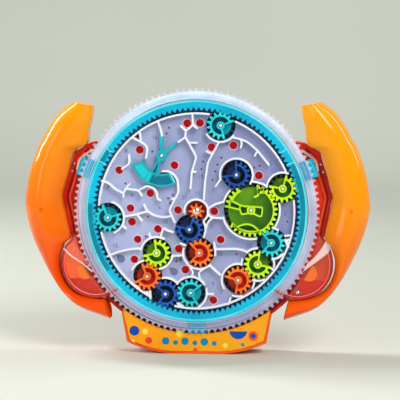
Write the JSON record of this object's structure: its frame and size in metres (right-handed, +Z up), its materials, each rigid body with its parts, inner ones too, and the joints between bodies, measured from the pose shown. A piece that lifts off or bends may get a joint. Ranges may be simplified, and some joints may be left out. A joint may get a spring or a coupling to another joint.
{
  "type": "gear maze board",
  "caption": "Hand-turned gear maze: a clear toothed wheel carries a ball maze with meshing gears inside a fixed ring gear, between side handles.",
  "frame": {"origin": "middle of the flat underside of the foot box, on the ground", "axes": "+Z up, -Y out of the front window, +X to the right as seen from the front"},
  "size_m": [0.1998, 0.03, 0.155],
  "materials": {
    "red_plastic": "clear red moulding",
    "clear_red_plastic": "see-through red moulding",
    "orange_plastic": "glossy orange moulding",
    "label_plastic": "printed yellow-orange plate",
    "clear_plastic": "clear moulding",
    "lavender_plastic": "pale lavender moulding",
    "cyan_plastic": "cyan moulding",
    "teal_plastic": "teal moulding",
    "blue_plastic": "blue moulding",
    "lime_plastic": "lime green moulding",
    "gear_orange_plastic": "orange moulding",
    "steel": "polished steel"
  },
  "bodies": {
    "frame": {"back_tray": "red_plastic", "left_pocket_hood": "clear_red_plastic", "right_pocket_hood": "clear_red_plastic", "left_pocket_post": "orange_plastic", "right_pocket_post": "orange_plastic", "label_plate": "label_plastic", "left_handle_front": "orange_plastic", "left_handle_back": "orange_plastic", "left_handle_screw_upper": "steel", "left_handle_screw_lower": "steel", "right_handle_front": "orange_plastic", "right_handle_back": "orange_plastic", "right_handle_screw_upper": "steel", "right_handle_screw_lower": "steel", "ring_gear": "cyan_plastic", "ring_screw_left": "steel", "ring_screw_right": "steel", "ring_screw_bottom": "steel", "sun_pinion": "gear_orange_plastic", "centre_pin": "steel"},
    "wheel": {"maze_plate": "lavender_plastic", "clear_cover": "clear_plastic"},
    "gear_teal_top": {"gear_teal_top": "teal_plastic"},
    "gear_lime_right": {"gear_lime_right": "lime_plastic"},
    "gear_teal_left": {"gear_teal_left": "teal_plastic"},
    "gear_blue_bottom": {"gear_blue_bottom": "blue_plastic"},
    "gear_lime_big": {"gear_lime_big": "lime_plastic"},
    "gear_blue_top": {"gear_blue_top": "blue_plastic"},
    "gear_teal_right": {"gear_teal_right": "teal_plastic"},
    "gear_lime_low": {"gear_lime_low": "lime_plastic"},
    "gear_orange_low": {"gear_orange_low": "gear_orange_plastic"},
    "gear_orange_left": {"gear_orange_left": "gear_orange_plastic"},
    "gear_lime_left": {"gear_lime_left": "lime_plastic"},
    "gear_teal_bottom": {"gear_teal_bottom": "teal_plastic"},
    "gear_blue_centre": {"gear_blue_centre": "blue_plastic"},
    "gear_orange_centre": {"gear_orange_centre": "gear_orange_plastic"},
    "lever": {"swing_lever": "teal_plastic"},
    "ball": {"steel_ball": "steel"}
  },
  "joints": [
    {"name": "wheel_spin", "type": "hinge", "parent": "frame", "child": "wheel", "pos_m": [0, -0.0045, 0.0837], "axis": [0, -1, 0], "continuous": true},
    {"name": "teal_top_spin", "type": "hinge", "parent": "wheel", "child": "gear_teal_top", "pos_m": [0.01408, -0.0045, 0.13346], "axis": [0, -1, 0], "continuous": true},
    {"name": "lime_right_spin", "type": "hinge", "parent": "wheel", "child": "gear_lime_right", "pos_m": [0.04993, -0.0045, 0.09717], "axis": [0, -1, 0], "continuous": true},
    {"name": "teal_left_spin", "type": "hinge", "parent": "wheel", "child": "gear_teal_left", "pos_m": [-0.05155, -0.0045, 0.07964], "axis": [0, -1, 0], "continuous": true},
    {"name": "blue_bottom_spin", "type": "hinge", "parent": "wheel", "child": "gear_blue_bottom", "pos_m": [-0.01803, -0.0045, 0.03523], "axis": [0, -1, 0], "continuous": true},
    {"name": "lime_big_spin", "type": "hinge", "parent": "wheel", "child": "gear_lime_big", "pos_m": [0.03175, -0.0045, 0.08449], "axis": [0, -1, 0], "continuous": true},
    {"name": "blue_top_spin", "type": "hinge", "parent": "wheel", "child": "gear_blue_top", "pos_m": [0.0232, -0.0045, 0.10494], "axis": [0, -1, 0], "continuous": true},
    {"name": "teal_right_spin", "type": "hinge", "parent": "wheel", "child": "gear_teal_right", "pos_m": [0.04346, -0.0045, 0.06568], "axis": [0, -1, 0], "continuous": true},
    {"name": "lime_low_spin", "type": "hinge", "parent": "wheel", "child": "gear_lime_low", "pos_m": [0.03581, -0.0045, 0.05304], "axis": [0, -1, 0], "continuous": true},
    {"name": "orange_low_spin", "type": "hinge", "parent": "wheel", "child": "gear_orange_low", "pos_m": [0.02433, -0.0045, 0.04374], "axis": [0, -1, 0], "continuous": true},
    {"name": "orange_left_spin", "type": "hinge", "parent": "wheel", "child": "gear_orange_left", "pos_m": [-0.02865, -0.0045, 0.04549], "axis": [0, -1, 0], "continuous": true},
    {"name": "lime_left_spin", "type": "hinge", "parent": "wheel", "child": "gear_lime_left", "pos_m": [-0.02319, -0.0045, 0.05922], "axis": [0, -1, 0], "continuous": true},
    {"name": "teal_bottom_spin", "type": "hinge", "parent": "wheel", "child": "gear_teal_bottom", "pos_m": [-0.00327, -0.0045, 0.03606], "axis": [0, -1, 0], "continuous": true},
    {"name": "blue_centre_spin", "type": "hinge", "parent": "wheel", "child": "gear_blue_centre", "pos_m": [-0.00402, -0.0045, 0.07311], "axis": [0, -1, 0], "continuous": true},
    {"name": "orange_centre_spin", "type": "hinge", "parent": "wheel", "child": "gear_orange_centre", "pos_m": [0.0018, -0.0045, 0.05953], "axis": [0, -1, 0], "continuous": true},
    {"name": "lever_swing", "type": "hinge", "parent": "wheel", "child": "lever", "pos_m": [-0.02002, -0.0045, 0.11598], "axis": [0, -1, 0], "range_deg": [-40, 0]},
    {"name": "ball_roll", "type": "hinge", "parent": "frame", "child": "ball", "pos_m": [0.0589, -0.0026, 0.053], "axis": [0, -1, 0], "range_deg": [-1, 126]}
  ],
  "couplings": [
    {"joint": "teal_top_spin", "follows": "wheel_spin", "ratio": -8},
    {"joint": "lime_right_spin", "follows": "wheel_spin", "ratio": -8},
    {"joint": "teal_left_spin", "follows": "wheel_spin", "ratio": -8},
    {"joint": "blue_bottom_spin", "follows": "wheel_spin", "ratio": -8},
    {"joint": "lime_big_spin", "follows": "wheel_spin", "ratio": 4},
    {"joint": "blue_top_spin", "follows": "wheel_spin", "ratio": -8},
    {"joint": "teal_right_spin", "follows": "wheel_spin", "ratio": -8},
    {"joint": "lime_low_spin", "follows": "wheel_spin", "ratio": 8},
    {"joint": "orange_low_spin", "follows": "wheel_spin", "ratio": -8},
    {"joint": "orange_left_spin", "follows": "wheel_spin", "ratio": 8},
    {"joint": "lime_left_spin", "follows": "wheel_spin", "ratio": -8},
    {"joint": "teal_bottom_spin", "follows": "wheel_spin", "ratio": 8},
    {"joint": "blue_centre_spin", "follows": "wheel_spin", "ratio": 0.53333},
    {"joint": "orange_centre_spin", "follows": "wheel_spin", "ratio": -0.53333}
  ]
}
